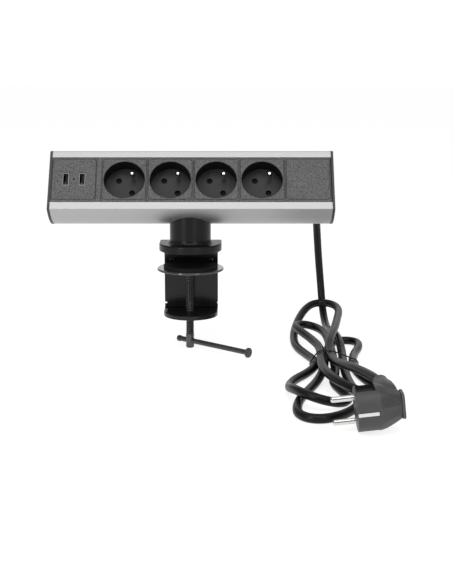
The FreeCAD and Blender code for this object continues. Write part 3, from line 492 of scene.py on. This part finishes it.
def make_plug_body():
    stations = [0, 0.15, 0.4, 0.8, 1.0, 1.05, 4, 8, 12, 16.15, 16.2, 17.3, 17.4, 19]
    stations += [19.05, 22, 25, 28, 31, 34, 36.2]
    bm = bmesh.new()
    skin(bm, [plug_section(x, 192) for x in stations])
    body = new_object("plug_moulding", bm, PLUG, 24)
    # Painted shade: the floor and walls of each notch take the darker slot plastic.
    body.data.materials.append(SHADED_SLOT)
    upright = LEAN.inverted()
    for face in body.data.polygons:
        if in_notch(upright @ (face.center / MM - PLUG_AT)):
            face.material_index = 1
    return body


LIP_PROFILE = (         # distance from the plug's face, and growth past the tail's half sizes
    (36.0, 0.2), (36.3, 1.0), (38.2, 1.0), (38.6, 0.4), (38.6, -2.0),
)
LIP_POWER = 7           # nearly square, with round corners


def make_tail_lip():
    """The raised rim round the end of the taper."""
    around = 64
    rings = []
    for x, grow in LIP_PROFILE:
        ring = []
        for i in range(around):
            a = 2 * math.pi * i / around
            c, s = math.cos(a), math.sin(a)
            k = squared(c, s, LIP_POWER)
            ring.append(laid(x, (TAIL_WIDE + grow) * c * k, (TAIL_TALL + grow) * s * k))
        rings.append(ring)
    bm = bmesh.new()
    skin(bm, rings)
    return new_object("plug_tail_lip", bm, PLUG, 32)


BOOT_MOUTH = Vector((162.0, -226.0, -70.0))
BOOT_ROOT = Vector((163.0, -258.0, -73.7))
BOOT_PROFILE = (        # distance from the mouth, and radius
    (-1.0, 4.4), (-1.0, 5.6), (-0.4, 6.3), (9.0, 7.4), (9.3, 8.2), (13.0, 9.2),
    (22.0, 10.4), (28.0, 10.8), (33.0, 9.0),
)
ROUND_PART = 5          # the mouth is round this far, and has eight flats beyond
FLAT_SHARE = 0.65


def make_boot():
    """The boot that the cord enters: a round mouth, then eight flats that widen."""
    around, sides = 32, 8
    way = (BOOT_ROOT - BOOT_MOUTH).normalized()
    side = way.cross(Vector((0, 0, 1))).normalized()
    up = side.cross(way)
    rings = []
    for along, r in BOOT_PROFILE:
        ring = []
        for i in range(around):
            a = 2 * math.pi * i / around
            shape = 1.0
            if along >= ROUND_PART:
                shape = 1 - FLAT_SHARE + FLAT_SHARE * facet(a, sides)
            out = (side * math.cos(a) + up * math.sin(a)) * r * shape
            ring.append((BOOT_MOUTH + way * along + out) * MM)
        rings.append(ring)
    bm = bmesh.new()
    skin(bm, rings, cap_start=False)
    return new_object("plug_cord_boot", bm, PLUG, 24)


plug_body = make_plug_body()
plug_lip = make_tail_lip()
boot = make_boot()
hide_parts("plug_body")
for piece in (plug_body, plug_lip, boot):
    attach(piece, "strip")

# Each spring gets a mesh of its own. It lies on the diagonal of its socket and shortens towards
# its foot.
for i in SOCKETS:
    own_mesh(nodes["shutter_spring_%d" % i])


# ---------------------------------------------------------------- edges
def soften(obj, width, angle=35):
    """Breaks the sharp edges with a small round, without changing the mesh itself."""
    weld = obj.modifiers.new("weld", "WELD")
    weld.merge_threshold = 0.004 * MM
    bevel = obj.modifiers.new("bevel", "BEVEL")
    bevel.width = width * MM
    bevel.segments = 2
    bevel.limit_method = "ANGLE"
    bevel.angle_limit = math.radians(angle)
    bevel.harden_normals = True
    even = obj.modifiers.new("even", "WEIGHTED_NORMAL")
    even.mode = "FACE_AREA"
    even.weight = 100


soften(nodes["housing_profile"], 0.20, angle=20)
for name in ("left_end_cap", "right_end_cap", "clamp_bracket", "tommy_bar"):
    soften(nodes[name], 0.4)


# ---------------------------------------------------------------- floor and light
def make_floor():
    """A plain pale floor at the object's lowest point."""
    bpy.ops.mesh.primitive_plane_add(size=12, location=(0, 3, cad_box[0][2]))
    plane = bpy.context.object
    plane.name = "floor"
    paint = bpy.data.materials.new("floor")
    paint.use_nodes = True
    shader = paint.node_tree.nodes["Principled BSDF"]
    shader.inputs["Base Color"].default_value = (0.36, 0.36, 0.36, 1)
    shader.inputs["Roughness"].default_value = 0.9
    shader.inputs["Specular IOR Level"].default_value = 0.1
    shader.inputs["Emission Color"].default_value = (1, 1, 1, 1)
    shader.inputs["Emission Strength"].default_value = 0.80
    dress(plane, paint)
    return plane


def softbox(name, at, size, power):
    """A rectangular light that looks at the desk seat."""
    lamp = bpy.data.lights.new(name, "AREA")
    lamp.shape = "RECTANGLE"
    lamp.size, lamp.size_y = size
    lamp.energy = power
    obj = add(name, lamp)
    obj.location = at
    obj.rotation_euler = (-Vector(at)).to_track_quat("-Z", "Y").to_euler()


def make_world():
    """Soft white light: brightest straight behind, weaker beside and above, dim in front."""
    world = bpy.data.worlds.new("studio")
    world.use_nodes = True
    tree = world.node_tree
    background = tree.nodes["Background"]
    direction = tree.nodes.new("ShaderNodeTexCoord")
    axes = tree.nodes.new("ShaderNodeSeparateXYZ")
    link(tree, direction.outputs["Generated"], axes.inputs["Vector"])
    x, y, z = (axes.outputs[axis] for axis in "XYZ")
    back = spread(tree, y, -0.2, 0.9, 0.0, 1.0, smooth=True)
    aside = math_node(tree, "ABSOLUTE", x)
    middle = spread(tree, aside, 0.24, 0.70, 1.0, 0.3, smooth=True)
    behind = math_node(tree, "MULTIPLY", back, middle)
    above = spread(tree, z, 0.10, 0.85, 0.22, 0.45, smooth=True)
    background.inputs["Color"].default_value = (1, 1, 1, 1)
    link(tree, math_node(tree, "MAXIMUM", behind, above), background.inputs["Strength"])
    return world


floor = make_floor()
softbox("left", (-0.88, -1.25, 0.40), (0.16, 1.1), 7.5)
softbox("right", (0.66, -1.35, 0.40), (0.12, 1.1), 4.6)
softbox("top", (0.0, -0.75, 1.35), (1.8, 0.8), 11.5)
scene.world = make_world()
scene.view_settings.view_transform = "Standard"

bpy.context.view_layer.update()
